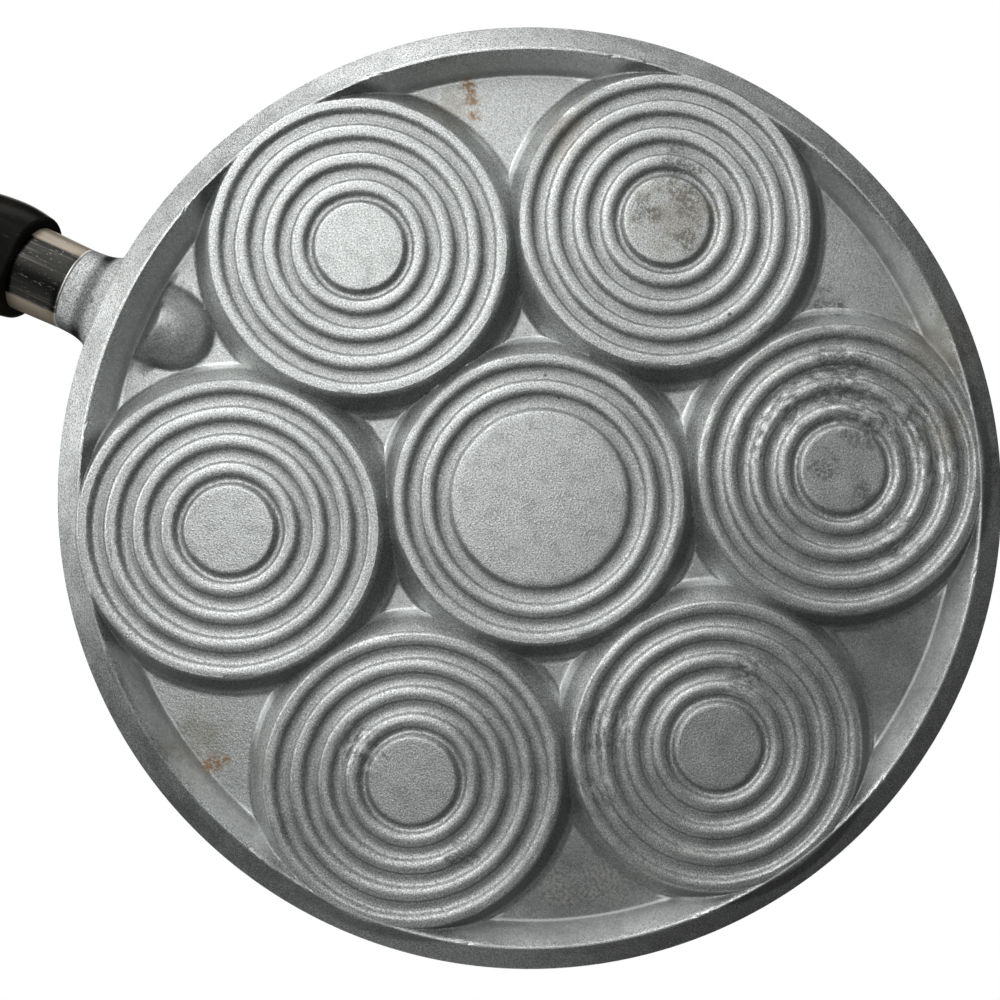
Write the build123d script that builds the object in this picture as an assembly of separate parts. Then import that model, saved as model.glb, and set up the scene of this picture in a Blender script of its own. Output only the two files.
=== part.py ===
from build123d import *
import math
import os

# A cast-aluminium pan for small pancakes: one casting with a well in the middle and six round it,
# and a moulded grip that one long screw pulls against a steel sleeve on the casting's stub.
# Sizes are in millimetres. The pan rests on z = 0 with its middle well over the origin, and the
# handle leaves it along +X.

# ---- wells, seen from above ----
ring_wells = 6
well_mouth_radius = 38.1
well_depth = 7.0
well_draft = 2.7              # how much narrower the well is at its floor
well_corner = 2.5             # round between a well's wall and its floor
mouth_round = 1.0             # round on the edge of a well's mouth
well_land = 5.8               # flat metal left between two neighbouring mouths

# ---- the web that holds the wells ----
web_height = 7.9              # the web's underside above the rest plane
web_thickness = 3.5

# ---- rings cast on the underside of each well ----
outer_rings = 4               # on each of the outer wells
centre_rings = 2              # on the middle well
ring_pitch = 7.35
ring_half_width = 2.25
groove_depth = 1.2
bead_inset = 0.35             # the outermost ring lies this far inside the mouth's radius
outer_plate_groove = 1.0      # groove between the flat plate and the first ring, outer wells
outer_plate_slope = 1.4
centre_plate_groove = 2.9     # the same on the middle well
centre_plate_slope = 2.1
ring_rise = 0.3               # the rings stand this far above the plates they surround
wall_lean = 0.5               # the well's outside wall, from its bead up to the foot
wall_rise = 4.1
foot_reach = 0.3              # hollow foot where that wall meets the web
foot_sink = 0.4

# ---- skirt and rim ----
crest_overlap = 1.05          # the skirt's crest lies this far inside the outer beads
crest_width = 2.4
crest_round = 1.3
skirt_inner_slope = 4.3
skirt_foot_round = 3.0
flare_width = 10.5            # the skirt's outside, from crest to flare edge
flare_height = 8.0
flare_round = 2.0
rim_lean = 4.9                # from the flare edge out to the rim
pan_height = 20.0
rim_width = 3.6
rim_round = 1.6
tray_margin = 6.1             # web left outside the outer wells' mouths
tray_corner = 3.0

# ---- pad under the web, next to the handle ----
pad_radius = 11.0
pad_drop = 5.2
pad_setback = 5.9

# ---- stub and tang, along the handle's own axis ----
handle_rise = 10.0            # degrees that the handle climbs
root_inset = 2.6              # the axis starts this far inside the rim's radius
stub_half_width = 11.75
stub_half_height = 5.8
stub_top_proud = 0.3
stub_length = 8.6
stub_root_depth = 1.2         # how far the stub runs into the wall
stub_root_half_width = 15.0
stub_root_half_height = 5.4
stub_flare = 0.55             # half-width gained a third of the way back to the wall
thread_radius = 2.4
thread_clearance = 0.1
thread_wall = 1.0             # metal between the hole's blind end and the tray

# ---- ferrule ----
ferrule_length = 20.4
ferrule_wall = 0.8
ferrule_widening = 0.5        # half-width gained towards the grip
fit_clearance = 0.2           # tang and grip nose inside the ferrule, ferrule inside the grip

# ---- grip ----
grip_length = 156.0
grip_overlap = 9.2            # how far the ferrule reaches into the grip, at the grip's axis
front_slant = 45.0            # degrees between the grip's front face and a square cut
front_reach = 8.0             # how far the slanted front leads the grip's axis, at the top
front_lip = 0.9               # grip wall round the ferrule, right at the front
front_round = 0.6
head_half_width = 16.1
head_half_height = 8.9
head_offset = 13.2
waist_half_width = 12.0
waist_half_height = 9.6
waist_offset = 50.0
tail_half_width = 14.2
tail_half_height = 8.8
tail_setback = 16.0
tip_half_width = 10.0
tip_half_height = 7.0
tip_round = 2.0
belly_drop = 7.9              # the flat along the grip's underside, below the axis
nose_length = 5.5
nose_gap = 1.9                # between the grip's nose and the end of the tang
hang_hole_radius = 7.0

# ---- screw and washers ----
seat_depth = 46.0             # the screw's seat, behind the end of the ferrule
shank_clearance = 0.5
head_radius = 3.9
head_height = 3.2
slot_width = 1.2
slot_depth = 1.6
washer_radius = 4.5
washer_thickness = 1.0
lock_washer_radius = 4.0
lock_washer_thickness = 1.2
lock_washer_split = 1.0
washer_clearance = 0.2
driver_clearance = 0.3
screw_tip_gap = 1.0

# ---- how the solids are made ----
cut_past = 1.0                # a cutting shape runs on this far beyond the face it opens

# ---- places that follow from the sizes above ----
web_top = web_height + web_thickness
well_floor = web_top - well_depth
well_circle_radius = 2 * well_mouth_radius + well_land
bead_radius = well_mouth_radius - bead_inset
crest_radius = well_circle_radius + bead_radius - crest_overlap
skirt_foot_radius = crest_radius - skirt_inner_slope
flare_radius = crest_radius + flare_width
rim_radius = flare_radius + rim_lean
tray_radius = well_circle_radius + well_mouth_radius + tray_margin
stub_height = pan_height - stub_half_height + stub_top_proud
ferrule_start = stub_length
ferrule_end = ferrule_start + ferrule_length
ferrule_end_half_width = stub_half_width + ferrule_widening
grip_front = ferrule_end - grip_overlap
grip_end = grip_front + grip_length
nose_front = ferrule_end - nose_length
tang_end = nose_front - nose_gap
screw_seat = ferrule_end + seat_depth
thread_start = root_inset - rim_width + thread_wall
driver_bore_radius = washer_radius + driver_clearance
hang_hole_at = grip_end - tail_setback


def nearest_corner(sketch, x, y):
    return sketch.vertices().sort_by_distance((x, y, 0))[0]


def rounded(sketch, corners):
    """Round some corners of a flat outline: corners holds ((x, y), radius) pairs."""
    for (x, y), radius in corners:
        sketch = fillet(nearest_corner(sketch, x, y), radius)
    return sketch


def turned(sketch, seam=180):
    """Spin an outline drawn as (radius, height) round the vertical axis.

    The seam is the direction, in degrees, where the turned surfaces start and end. It is kept
    clear of the places where another surface crosses them.
    """
    return Rot(0, 0, seam) * revolve(Plane.XZ * sketch, Axis.Z)


# ---- the casting ----

def pan_body():
    """Web, skirt and rim as one turned section, still without wells."""
    foot = (skirt_foot_radius, web_height)
    crest_in = (crest_radius - crest_width / 2, 0)
    crest_out = (crest_radius + crest_width / 2, 0)
    flare = (flare_radius, flare_height)
    rim_out = (rim_radius, pan_height)
    rim_in = (rim_radius - rim_width, pan_height)
    tray = (tray_radius, web_top)
    outline = Polyline(
        (0, web_height), foot, crest_in, crest_out, flare, rim_out, rim_in, tray, (0, web_top),
        close=True,
    )
    section = rounded(make_face(outline), [
        (foot, skirt_foot_round), (crest_in, crest_round), (crest_out, crest_round),
        (flare, flare_round), (rim_out, rim_round), (rim_in, rim_round), (tray, tray_corner),
    ])
    return turned(section, seam=360 / ring_wells)


def well_underside(ring_count, plate_groove, plate_slope):
    """The raised plate, rings and outside wall under one well, filled up into the web."""
    ring_radii = [bead_radius - ring_pitch * n for n in reversed(range(ring_count))]
    groove_edge = ring_radii[0] - ring_half_width - plate_groove
    plate_edge = groove_edge - plate_slope
    lines = [Line((0, 0), (plate_edge, 0)), Line((plate_edge, 0), (groove_edge, groove_depth))]
    reached = groove_edge
    for radius in ring_radii:
        start = (radius - ring_half_width, groove_depth)
        end = (radius + ring_half_width, groove_depth)
        lines.append(Line((reached, groove_depth), start))
        lines.append(ThreePointArc(start, (radius, ring_rise), end))
        reached = end[0]
    wall_foot = (reached + wall_lean, groove_depth + wall_rise)
    wall_end = (wall_foot[0] + foot_reach, web_height + foot_sink)
    middle = web_height + web_thickness / 2
    lines += [
        Line((reached, groove_depth), wall_foot),
        TangentArc(wall_foot, wall_end, tangent=(wall_lean, wall_rise)),
        Polyline(wall_end, (wall_end[0], middle), (0, middle), (0, 0)),
    ]
    return turned(make_face(lines))


def outer_well_underside():
    """The underside of a well in the ring, cut off inside the skirt that it runs into.

    It is drawn round its own middle, with the pan's axis on its -X side.
    """
    whole = well_underside(outer_rings, outer_plate_groove, outer_plate_slope)
    inside_skirt = Pos(-well_circle_radius, 0, 0) * Rot(0, 0, 180) * Cylinder(crest_radius, 2 * web_top)
    return whole & inside_skirt


def well_space():
    """The air in one well."""
    floor_radius = well_mouth_radius - well_draft
    slope = well_draft / well_depth
    outline = Polyline(
        (0, well_floor), (floor_radius, well_floor), (well_mouth_radius, web_top),
        (well_mouth_radius + slope * cut_past, web_top + cut_past), (0, web_top + cut_past), close=True,
    )
    return turned(rounded(make_face(outline), [((floor_radius, well_floor), well_corner)]))


def ring_places():
    return PolarLocations(well_circle_radius, ring_wells, 180 / ring_wells)


def handle_pad():
    """The round pad that stands down from the web inside the skirt, at the handle."""
    depth = pad_drop + foot_sink
    lowest = web_height - pad_drop
    ball_radius = (pad_radius ** 2 + depth ** 2) / (2 * depth)
    ball = Pos(0, 0, lowest + ball_radius) * Sphere(ball_radius)
    height = web_thickness / 2 + depth
    keep = Pos(0, 0, lowest) * Cylinder(pad_radius, height, align=(Align.CENTER, Align.CENTER, Align.MIN))
    return Pos(skirt_foot_radius - pad_setback, 0, 0) * (ball & keep)


# The handle's own frame: x runs out along the handle from a point in the rim wall, y stays level.
climb = math.radians(handle_rise)
handle_frame = Location(Plane(
    origin=(rim_radius - root_inset, 0, stub_height),
    x_dir=(math.cos(climb), 0, math.sin(climb)),
    z_dir=(-math.sin(climb), 0, math.cos(climb)),
))


def oval(station, half_width, half_height):
    """An upright oval across the handle, at a distance along it."""
    across = Plane(origin=(station, 0, 0), x_dir=(0, 1, 0), z_dir=(1, 0, 0))
    return across * Ellipse(half_width, half_height)


def oval_taper(start, end, start_half, end_half):
    """A straight-sided oval bar between two stations; halves are (width, height) pairs."""
    return loft([oval(start, *start_half), oval(end, *end_half)], ruled=True)


def rod(radius, start, end):
    return oval_taper(start, end, (radius, radius), (radius, radius))


def ferrule_half(station, shrink=0.0):
    """Half width and half height of the ferrule's outside, or of a skin inside it."""
    share = (station - ferrule_start) / ferrule_length
    half_width = stub_half_width + ferrule_widening * share
    return half_width - shrink, stub_half_height + ferrule_widening * share - shrink


def sleeve_bar(start, end, shrink):
    """A bar that keeps one distance from the ferrule's outside skin."""
    return oval_taper(start, end, ferrule_half(start, shrink), ferrule_half(end, shrink))


def stub():
    """The cast stub, which flares where it leaves the rim wall."""
    width = stub_half_width
    height = stub_half_height
    return loft([
        oval(-stub_root_depth, stub_root_half_width, stub_root_half_height),
        oval(stub_length / 3, width + stub_flare, height),
        oval(stub_length, width, height),
    ])


def tang():
    """The reduced end of the stub that centres the ferrule."""
    return sleeve_bar(stub_length, tang_end, ferrule_wall + fit_clearance)


def tapped_hole():
    return rod(thread_radius + thread_clearance, thread_start, tang_end + cut_past)


def pan_casting():
    casting = pan_body() + handle_frame * stub() + handle_pad()
    casting += well_underside(centre_rings, centre_plate_groove, centre_plate_slope)
    outer_underside = outer_well_underside()
    for place in ring_places():
        casting += place * outer_underside
    casting -= well_space()
    for place in ring_places():
        casting -= place * well_space()
    mouths = casting.edges().filter_by(GeomType.CIRCLE).filter_by(
        lambda edge: abs(edge.radius - well_mouth_radius) < 0.01)
    casting = fillet(mouths, mouth_round)
    casting += handle_frame * tang()
    return casting - handle_frame * tapped_hole()


# ---- the handle ----

def ferrule():
    """Plated sleeve between stub and grip, open at both ends."""
    outside = sleeve_bar(ferrule_start, ferrule_end, 0)
    return outside - sleeve_bar(ferrule_start, ferrule_end, ferrule_wall)


def grip_half(offset):
    """Half width and half height of the grip at a distance behind the front of its axis."""
    lip = front_lip + ferrule_end_half_width - stub_half_width
    stops = [
        (-front_reach, stub_half_width + lip, stub_half_height + lip),
        (head_offset, head_half_width, head_half_height),
        (waist_offset, waist_half_width, waist_half_height),
        (grip_length - tail_setback, tail_half_width, tail_half_height),
    ]
    for (start, width, height), (end, next_width, next_height) in zip(stops, stops[1:]):
        if offset <= end:
            share = (1 - math.cos(math.pi * (offset - start) / (end - start))) / 2
            return width + (next_width - width) * share, height + (next_height - height) * share
    share = math.cos(math.pi / 2 * (offset - end) / tail_setback)
    return (tip_half_width + (tail_half_width - tip_half_width) * share,
            tip_half_height + (tail_half_height - tip_half_height) * share)


def grip_body():
    """The grip's outside: a wide head, a slim waist and a broad tail."""
    turns = [-front_reach, head_offset, waist_offset, grip_length - tail_setback, grip_length]
    offsets = [turns[0]]
    for start, end in zip(turns, turns[1:]):
        offsets += [start + (end - start) * step / 4 for step in range(1, 5)]
    return loft([oval(grip_front + offset, *grip_half(offset)) for offset in offsets])


def handle_grip():
    grip = grip_body()
    slant = math.radians(front_slant)
    front_face = Plane(origin=(grip_front, 0, 0), z_dir=(math.cos(slant), 0, math.sin(slant)))
    grip = split(grip, bisect_by=front_face, keep=Keep.TOP)
    front_edges = grip.faces().filter_by(GeomType.PLANE).sort_by(Axis.X)[0].edges()
    grip = fillet(front_edges, front_round)
    belly = Plane(origin=(0, 0, -belly_drop), z_dir=(0, 0, 1))
    grip = split(grip, bisect_by=belly, keep=Keep.TOP)
    tip_edges = grip.faces().sort_by(Axis.X)[-1].edges()
    grip = fillet(tip_edges, tip_round)
    # the socket for the ferrule, with the nose left standing in it
    grip -= sleeve_bar(ferrule_start, nose_front, -fit_clearance)
    socket = sleeve_bar(nose_front, ferrule_end, -fit_clearance)
    grip -= socket - sleeve_bar(nose_front, ferrule_end, ferrule_wall + fit_clearance)
    grip -= rod(thread_radius + shank_clearance, nose_front - cut_past, screw_seat)
    grip -= rod(driver_bore_radius, screw_seat, grip_end + cut_past)
    # the hang hole's seam lies to one side, clear of the bore that crosses the hole
    hang_hole = Rot(0, 0, 90) * Cylinder(hang_hole_radius, 4 * tail_half_height)
    return grip - Pos(hang_hole_at, 0, 0) * hang_hole


def washer(radius, start, thickness):
    hole = rod(thread_radius + washer_clearance, start, start + thickness)
    return rod(radius, start, start + thickness) - hole


def flat_washer():
    return washer(washer_radius, screw_seat, washer_thickness)


def lock_washer():
    start = screw_seat + washer_thickness
    ring = washer(lock_washer_radius, start, lock_washer_thickness)
    middle = Pos(start + lock_washer_thickness / 2, 0, lock_washer_radius)
    return ring - middle * Box(2 * lock_washer_thickness, lock_washer_split, 2 * lock_washer_radius)


def handle_bolt():
    head_start = screw_seat + washer_thickness + lock_washer_thickness
    head_end = head_start + head_height
    tip = thread_start + screw_tip_gap
    bolt = rod(thread_radius, tip, head_start) + rod(head_radius, head_start, head_end)
    slot = Pos(head_end, 0, 0) * Box(2 * slot_depth, slot_width, 3 * head_radius)
    return bolt - slot


os.makedirs("parts", exist_ok=True)
export_step(pan_casting(), "parts/pan_casting.step")
export_step(handle_frame * ferrule(), "parts/ferrule.step")
export_step(handle_frame * handle_grip(), "parts/handle_grip.step")
export_step(handle_frame * handle_bolt(), "parts/handle_bolt.step")
export_step(handle_frame * flat_washer(), "parts/flat_washer.step")
export_step(handle_frame * lock_washer(), "parts/lock_washer.step")
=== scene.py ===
import math

import bpy
from mathutils import Matrix, Vector


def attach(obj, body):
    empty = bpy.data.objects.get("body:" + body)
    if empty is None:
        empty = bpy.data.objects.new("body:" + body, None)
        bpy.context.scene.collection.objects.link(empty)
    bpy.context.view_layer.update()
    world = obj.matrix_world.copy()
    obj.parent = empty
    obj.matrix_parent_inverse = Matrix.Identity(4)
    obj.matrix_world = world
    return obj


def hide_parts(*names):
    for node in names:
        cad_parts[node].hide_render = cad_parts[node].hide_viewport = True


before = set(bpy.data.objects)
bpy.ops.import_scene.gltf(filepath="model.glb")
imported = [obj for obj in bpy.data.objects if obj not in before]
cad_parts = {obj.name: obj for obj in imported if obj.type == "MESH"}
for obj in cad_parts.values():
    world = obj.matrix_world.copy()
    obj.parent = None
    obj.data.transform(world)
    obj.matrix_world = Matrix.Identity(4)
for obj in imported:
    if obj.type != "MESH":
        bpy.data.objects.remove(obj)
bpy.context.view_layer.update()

MM = 0.001


def in_metres(*lengths):
    return [length * MM for length in lengths]


# ---- sizes of the casting, in metres ----
WELLS_ROUND = 6
SECTOR = 2 * math.pi / WELLS_ROUND
WELL_CIRCLE = 82.0 * MM
MOUTH_RADIUS = 38.1 * MM
WELL_DRAFT = 2.7 * MM
WELL_CORNER = 2.5 * MM
MOUTH_ROUND = 1.0 * MM
WELL_FLOOR = 4.4 * MM
WEB_TOP = 11.4 * MM
WEB_HEIGHT = 7.9 * MM

BEAD_RADIUS = {"outer": 37.8 * MM, "middle": 37.4 * MM}
RING_PITCH = {"outer": 7.28 * MM, "middle": 7.42 * MM}
RING_HALF_WIDTH = 2.60 * MM
RING_FLAT = 0.36                     # share of a ring's half width that stays nearly flat
RING_BOWL = 0.1                      # share of a ring's fall that is a bowl, not a step
WALL_START = 1.85 * MM               # distance from the outermost ring's middle to the wall
WALL_LIFT = 0.8                      # height at which the wall starts, as a share of the grooves' depth
GROOVE_DEPTH = 1.2 * MM
PLATE_EDGES = {"outer": (11.1 * MM, 12.9 * MM), "middle": (22.9 * MM, 25.1 * MM)}
RINGS = {"outer": 4, "middle": 2}
WALL_SLOPE = 1.35

CREST_IN, CREST_OUT = 119.6 * MM, 120.2 * MM
SKIRT_SLOPE = 2.4
FLARE = (129.2 * MM, 8.0 * MM)
RIM_OUT = (134.05 * MM, 20.0 * MM)
RIM_IN = (130.5 * MM, 20.0 * MM)
TRAY_CORNER = (126.2 * MM, WEB_TOP)
FLARE_ROUND, RIM_ROUND, TRAY_ROUND = 2.0 * MM, 1.6 * MM, 3.0 * MM
FLARE_SLOPE = FLARE[1] / (FLARE[0] - CREST_OUT)

TRENCH_DEPTH = 0.10 * MM             # shallow trench round the web, along every foot
TRENCH_WIDTH = 1.3 * MM

PAD_RIDGE = 111.2 * MM               # the pad's ridge, square to the handle's line
PAD_REACH = 13.4 * MM                # from the ridge to the pad's end towards the middle of the pan
PAD_OFFSET = 0.6 * MM
PAD_HALF_WIDTH = 11.0 * MM
PAD_RISE = 4.8 * MM
PAD_EDGE = 1.1 * MM                  # height of the steep edge round the pad
PAD_VALLEY = 116.0 * MM              # where the pad has fallen back to the web, beside the skirt
PAD_SLOPE, PAD_FALL = 1.2, 1.1       # slopes towards the middle of the pan and towards the skirt

# How softly two shapes of the underside run into each other.
SOFT = {name: distance * MM for name, distance in {
    "wall": 0.5, "plate": 0.12, "crest": 0.9, "skirt foot": 0.5, "pad edge": 0.8, "pad valley": 0.7,
    "wells": 0.3, "web": 1.2, "pad": 0.3, "rest plane": 0.05}.items()}
FILLET_SHARE, FILLET_LEAST, FILLET_LIMIT = 0.45, 0.01 * MM, 9 * MM

# ---- sizes of the handle, along its own axis, in metres ----
HANDLE_RISE = math.radians(10)
HANDLE_START = Vector((131.5 * MM, 0, 14.5 * MM))
STUB_LENGTH = 8.6 * MM
STUB_HALF = (11.75 * MM, 5.8 * MM)
FERRULE_LENGTH = 20.4 * MM
FERRULE_WIDENING = 0.5 * MM
FERRULE_WALL = 0.8 * MM
GRIP_OVERLAP = 9.2 * MM
GRIP_LENGTH = 156.0 * MM
FIT = 0.2 * MM
FERRULE_END = STUB_LENGTH + FERRULE_LENGTH
GRIP_FRONT = FERRULE_END - GRIP_OVERLAP
GRIP_END = GRIP_FRONT + GRIP_LENGTH
NOSE_LENGTH = 5.5 * MM
TANG_END = FERRULE_END - NOSE_LENGTH - 1.9 * MM
THREAD_HOLE = 2.5 * MM
SHANK_BORE = 2.9 * MM
DRIVER_BORE = 4.8 * MM
SCREW_SEAT = FERRULE_END + 46.0 * MM
FRONT_REACH, FRONT_LIP, FRONT_ROUND = 8.0 * MM, 0.9 * MM, 0.9 * MM
FRONT_LEAN, FRONT_BACK = 0.15, 4.0 * MM
HEAD_OFFSET, HEAD_HALF = 13.2 * MM, (16.1 * MM, 8.9 * MM)
WAIST_OFFSET, WAIST_HALF = 50.0 * MM, (12.0 * MM, 9.6 * MM)
TAIL_SETBACK, TAIL_HALF = 16.0 * MM, (14.2 * MM, 8.8 * MM)
TIP_HALF, TIP_ROUND = (10.0 * MM, 7.0 * MM), 2.0 * MM
BELLY_DROP = 7.9 * MM
HANG_HOLE = 7.0 * MM
HANG_HOLE_AT = GRIP_END - TAIL_SETBACK

handle_frame = Matrix.Translation(HANDLE_START) @ Matrix.Rotation(-HANDLE_RISE, 4, "Y")


# ======== numbers as nodes ========

class Tree:
    """A node tree, with one method that adds any node."""

    def __init__(self, tree):
        self.tree = tree

    def add(self, kind, inputs=None, **settings):
        node = self.tree.nodes.new(kind)
        for name, value in settings.items():
            setattr(node, name, value)
        for key, value in (inputs or {}).items():
            socket = node.inputs[key]
            if isinstance(value, Number):
                value = value.socket
            if isinstance(value, bpy.types.NodeSocket):
                self.tree.links.new(value, socket)
            else:
                socket.default_value = value
        return node

    def maths(self, operation, *values):
        node = self.add("ShaderNodeMath", dict(enumerate(values)), operation=operation)
        return Number(self, node.outputs[0])

    def parts(self, vector):
        """The three numbers of a vector."""
        node = self.add("ShaderNodeSeparateXYZ", {0: vector})
        return [Number(self, output) for output in node.outputs]

    def vector(self, x, y, z):
        return self.add("ShaderNodeCombineXYZ", {0: x, 1: y, 2: z}).outputs[0]

    def noise(self, place, size, detail, seed=0.0):
        """Soft noise round 0.5, with blots about as wide as size."""
        moved = self.add("ShaderNodeVectorMath", {0: place, 1: (seed, -seed, 0.5 * seed)}, operation="ADD")
        node = self.add("ShaderNodeTexNoise", {
            "Vector": moved.outputs[0], "Scale": 1 / size, "Detail": detail, "Roughness": 0.55})
        return Number(self, node.outputs[0])

    def painted(self, colour, *layers):
        """A colour with others painted over it, each with the share that covers."""
        for over, share in layers:
            colour = self.add("ShaderNodeMix", {0: share, 6: colour, 7: over}, data_type="RGBA").outputs[2]
        return colour


class Number:
    """A socket that holds a number. Python's arithmetic on it adds Math nodes."""

    def __init__(self, tree, socket):
        self.tree, self.socket = tree, socket

    def __add__(self, other): return self.tree.maths("ADD", self, other)
    def __radd__(self, other): return self.tree.maths("ADD", other, self)
    def __sub__(self, other): return self.tree.maths("SUBTRACT", self, other)
    def __rsub__(self, other): return self.tree.maths("SUBTRACT", other, self)
    def __mul__(self, other): return self.tree.maths("MULTIPLY", self, other)
    def __rmul__(self, other): return self.tree.maths("MULTIPLY", other, self)
    def __truediv__(self, other): return self.tree.maths("DIVIDE", self, other)
    def __neg__(self): return self.tree.maths("MULTIPLY", self, -1.0)
    def __abs__(self): return self.tree.maths("ABSOLUTE", self)

    def least(self, other, *soft):
        return self.tree.maths("SMOOTH_MIN" if soft else "MINIMUM", self, other, *soft)

    def most(self, other, *soft):
        return self.tree.maths("SMOOTH_MAX" if soft else "MAXIMUM", self, other, *soft)

    def eased(self, low, high):
        """0 below low, 1 above high, and a smooth step between them."""
        node = self.tree.add(
            "ShaderNodeMapRange", {"Value": self, "From Min": low, "From Max": high},
            interpolation_type="SMOOTHSTEP")
        return Number(self.tree, node.outputs["Result"])

    def between(self, rise, fall):
        """1 between two smooth steps, 0 outside them."""
        return self.eased(*rise) * (1 - self.eased(*fall))


def square_root(value):
    return value.tree.maths("SQRT", value)


# ======== meshes ========

class Skin:
    """Points and faces of a mesh in the making. A point met again is used again."""

    def __init__(self):
        self.points, self.faces, self.known = [], [], {}

    def point(self, place):
        key = tuple(round(c, 7) for c in place)
        if key not in self.known:
            self.known[key] = len(self.points)
            self.points.append(tuple(place))
        return self.known[key]

    def face(self, *corners):
        distinct = list(dict.fromkeys(corners))
        if len(distinct) > 2:
            self.faces.append(distinct)

    def band(self, first, second):
        """Faces between two closed rows of points."""
        for a in range(len(first)):
            b = (a + 1) % len(first)
            self.face(first[a], first[b], second[b], second[a])

    def fan(self, middle, row):
        """Faces from a row of points to one in its middle."""
        for a, b in zip(row, row[1:] + row[:1]):
            self.face(middle, a, b)

    def mesh(self, name):
        mesh = bpy.data.meshes.new(name)
        mesh.from_pydata(self.points, [], self.faces)
        mesh.validate()
        return mesh


def new_object(name, mesh):
    obj = bpy.data.objects.new(name, mesh)
    bpy.context.scene.collection.objects.link(obj)
    return obj


def plain_mesh(obj):
    """The object's mesh with its modifiers worked out, and the modifiers gone."""
    graph = bpy.context.evaluated_depsgraph_get()
    mesh = bpy.data.meshes.new_from_object(obj.evaluated_get(graph))
    obj.modifiers.clear()
    old, obj.data = obj.data, mesh
    bpy.data.meshes.remove(old)
    return mesh


def rounded_path(corners, steps=5):
    """A path of (radius, height) points. corners holds ((r, z), round) pairs; the ends keep theirs."""
    places = [Vector(place) for place, _ in corners]
    path = [places[0]]
    for before, here, after, (_, radius) in zip(places, places[1:], places[2:], corners[1:]):
        to_before, to_after = (before - here).normalized(), (after - here).normalized()
        half = to_before.angle(to_after) / 2
        reach = radius / math.tan(half)
        start, end = here + to_before * reach, here + to_after * reach
        middle = here + (to_before + to_after).normalized() * radius / math.sin(half)
        sweep = math.pi - 2 * half
        turn = 1 if (start - middle).cross(end - middle) > 0 else -1
        for step in range(steps + 1):
            angle = turn * sweep * step / steps
            arm = start - middle
            path.append(middle + Vector((
                arm.x * math.cos(angle) - arm.y * math.sin(angle),
                arm.x * math.sin(angle) + arm.y * math.cos(angle))))
    path.append(places[-1])
    return path


# ---- the casting's flat start: a cell for each well, and circles round them all ----

RAYS = 120
RAY_STEP = 2 * math.pi / RAYS
CORNER = 23 * RAY_STEP               # direction of an outer cell's outer corner, from its middle
SKIRT_CIRCLES = in_metres(
    112.5, 114.0, 114.8, 115.3, 115.7, 116.1, 116.5, 117.0, 117.5, 118.0, 118.4, 118.8, 119.1, 119.4,
    119.7, 120.0, 120.4, 120.9)
FLARE_CIRCLES = in_metres(122.2, 122.9, 123.8, 124.8, 126.0)
FLARE_START = 127.0 * MM
WALL_STOPS = in_metres(40.2, 40.9, 41.6, 42.3, 43.0, 43.6, 44.2, 44.8, 45.4, 46.2)
RING_SHARES = (-1.0, -.8, -.6, -.38, 0, .38, .6, .8, 1.0)
FOOT_SHARES = [.12, .30, .55, .80]
PAD_SHARES = [share / 20 for share in range(1, 20)]
PAD_RAYS = 34
PAD_RAYS_END = math.radians(93)


def well_direction(number):
    """Azimuth of an outer well, 0 to 5."""
    return (number + .5) * SECTOR


# Radius of the circle that ends the outer cells, so that their corners fall on a ray.
CELL_CIRCLE = WELL_CIRCLE * math.tan(CORNER) / (
    math.tan(CORNER) * math.cos(SECTOR / 2) - math.sin(SECTOR / 2))


def from_outward(angle):
    """How far a direction turns away from straight outwards, 0 to pi."""
    return math.pi - abs(math.pi - angle % (2 * math.pi))


def reach_to_circle(angle, radius):
    """Distance from an outer well's middle to a circle round the pan's axis."""
    return -WELL_CIRCLE * math.cos(angle) + math.sqrt(
        radius ** 2 - (WELL_CIRCLE * math.sin(angle)) ** 2)


def middle_cell_edge(angle):
    return WELL_CIRCLE / 2 / math.cos(angle % SECTOR - SECTOR / 2)


def outer_cell_edge(angle):
    """Distance from the well's middle to its cell's edge; direction 0 points away from the pan's axis."""
    turn = from_outward(angle)
    if turn <= CORNER + 1e-9:
        return reach_to_circle(turn, CELL_CIRCLE)
    if turn <= math.pi - SECTOR / 2 + 1e-9:
        return WELL_CIRCLE / 2 / math.sin(turn - SECTOR / 2)
    return -WELL_CIRCLE / 2 / math.cos(turn)


def even_rays():
    return [ray * RAY_STEP for ray in range(RAYS)]


def outer_rays(close_side=0):
    """Even rays, with more of them where the skirt's circles meet the line between two cells.

    close_side is the side, 1 or -1, on which the cell borders the pad and needs close rays.
    """
    crowded = [math.atan2(radius * math.sin(SECTOR / 2), radius * math.cos(SECTOR / 2) - WELL_CIRCLE)
               for radius in SKIRT_CIRCLES]
    last = max(crowded)
    half = crowded + [angle for angle in even_rays()
                      if angle <= CORNER + 1e-9 or last + RAY_STEP / 2 < angle <= math.pi + 1e-9]
    half.sort()
    close = [last + (PAD_RAYS_END - last) * n / PAD_RAYS for n in range(1, PAD_RAYS)]
    close = [angle for angle in close if min(abs(angle - other) for other in half) > 1e-4]
    plus, minus = (sorted(half + close) if close_side == side else half for side in (1, -1))
    mirrored = [2 * math.pi - angle for angle in reversed(minus) if 0 < angle < math.pi - 1e-9]
    return plus + mirrored


def ring_stops(kind):
    """Distances from a well's middle at which the underside gets a row of points."""
    plate, groove = PLATE_EDGES[kind]
    stops = [plate * share for share in (0.25, 0.5, 0.75, 0.93)]
    stops += [plate + (groove - plate) * share for share in (0.0, 0.2, 0.4, 0.6, 0.8, 1.0)]
    for number in reversed(range(RINGS[kind])):
        ring = BEAD_RADIUS[kind] - number * RING_PITCH[kind]
        stops += [ring + RING_HALF_WIDTH * share for share in RING_SHARES]
        if number:
            stops.append(ring + RING_PITCH[kind] / 2)
    return stops


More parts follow.
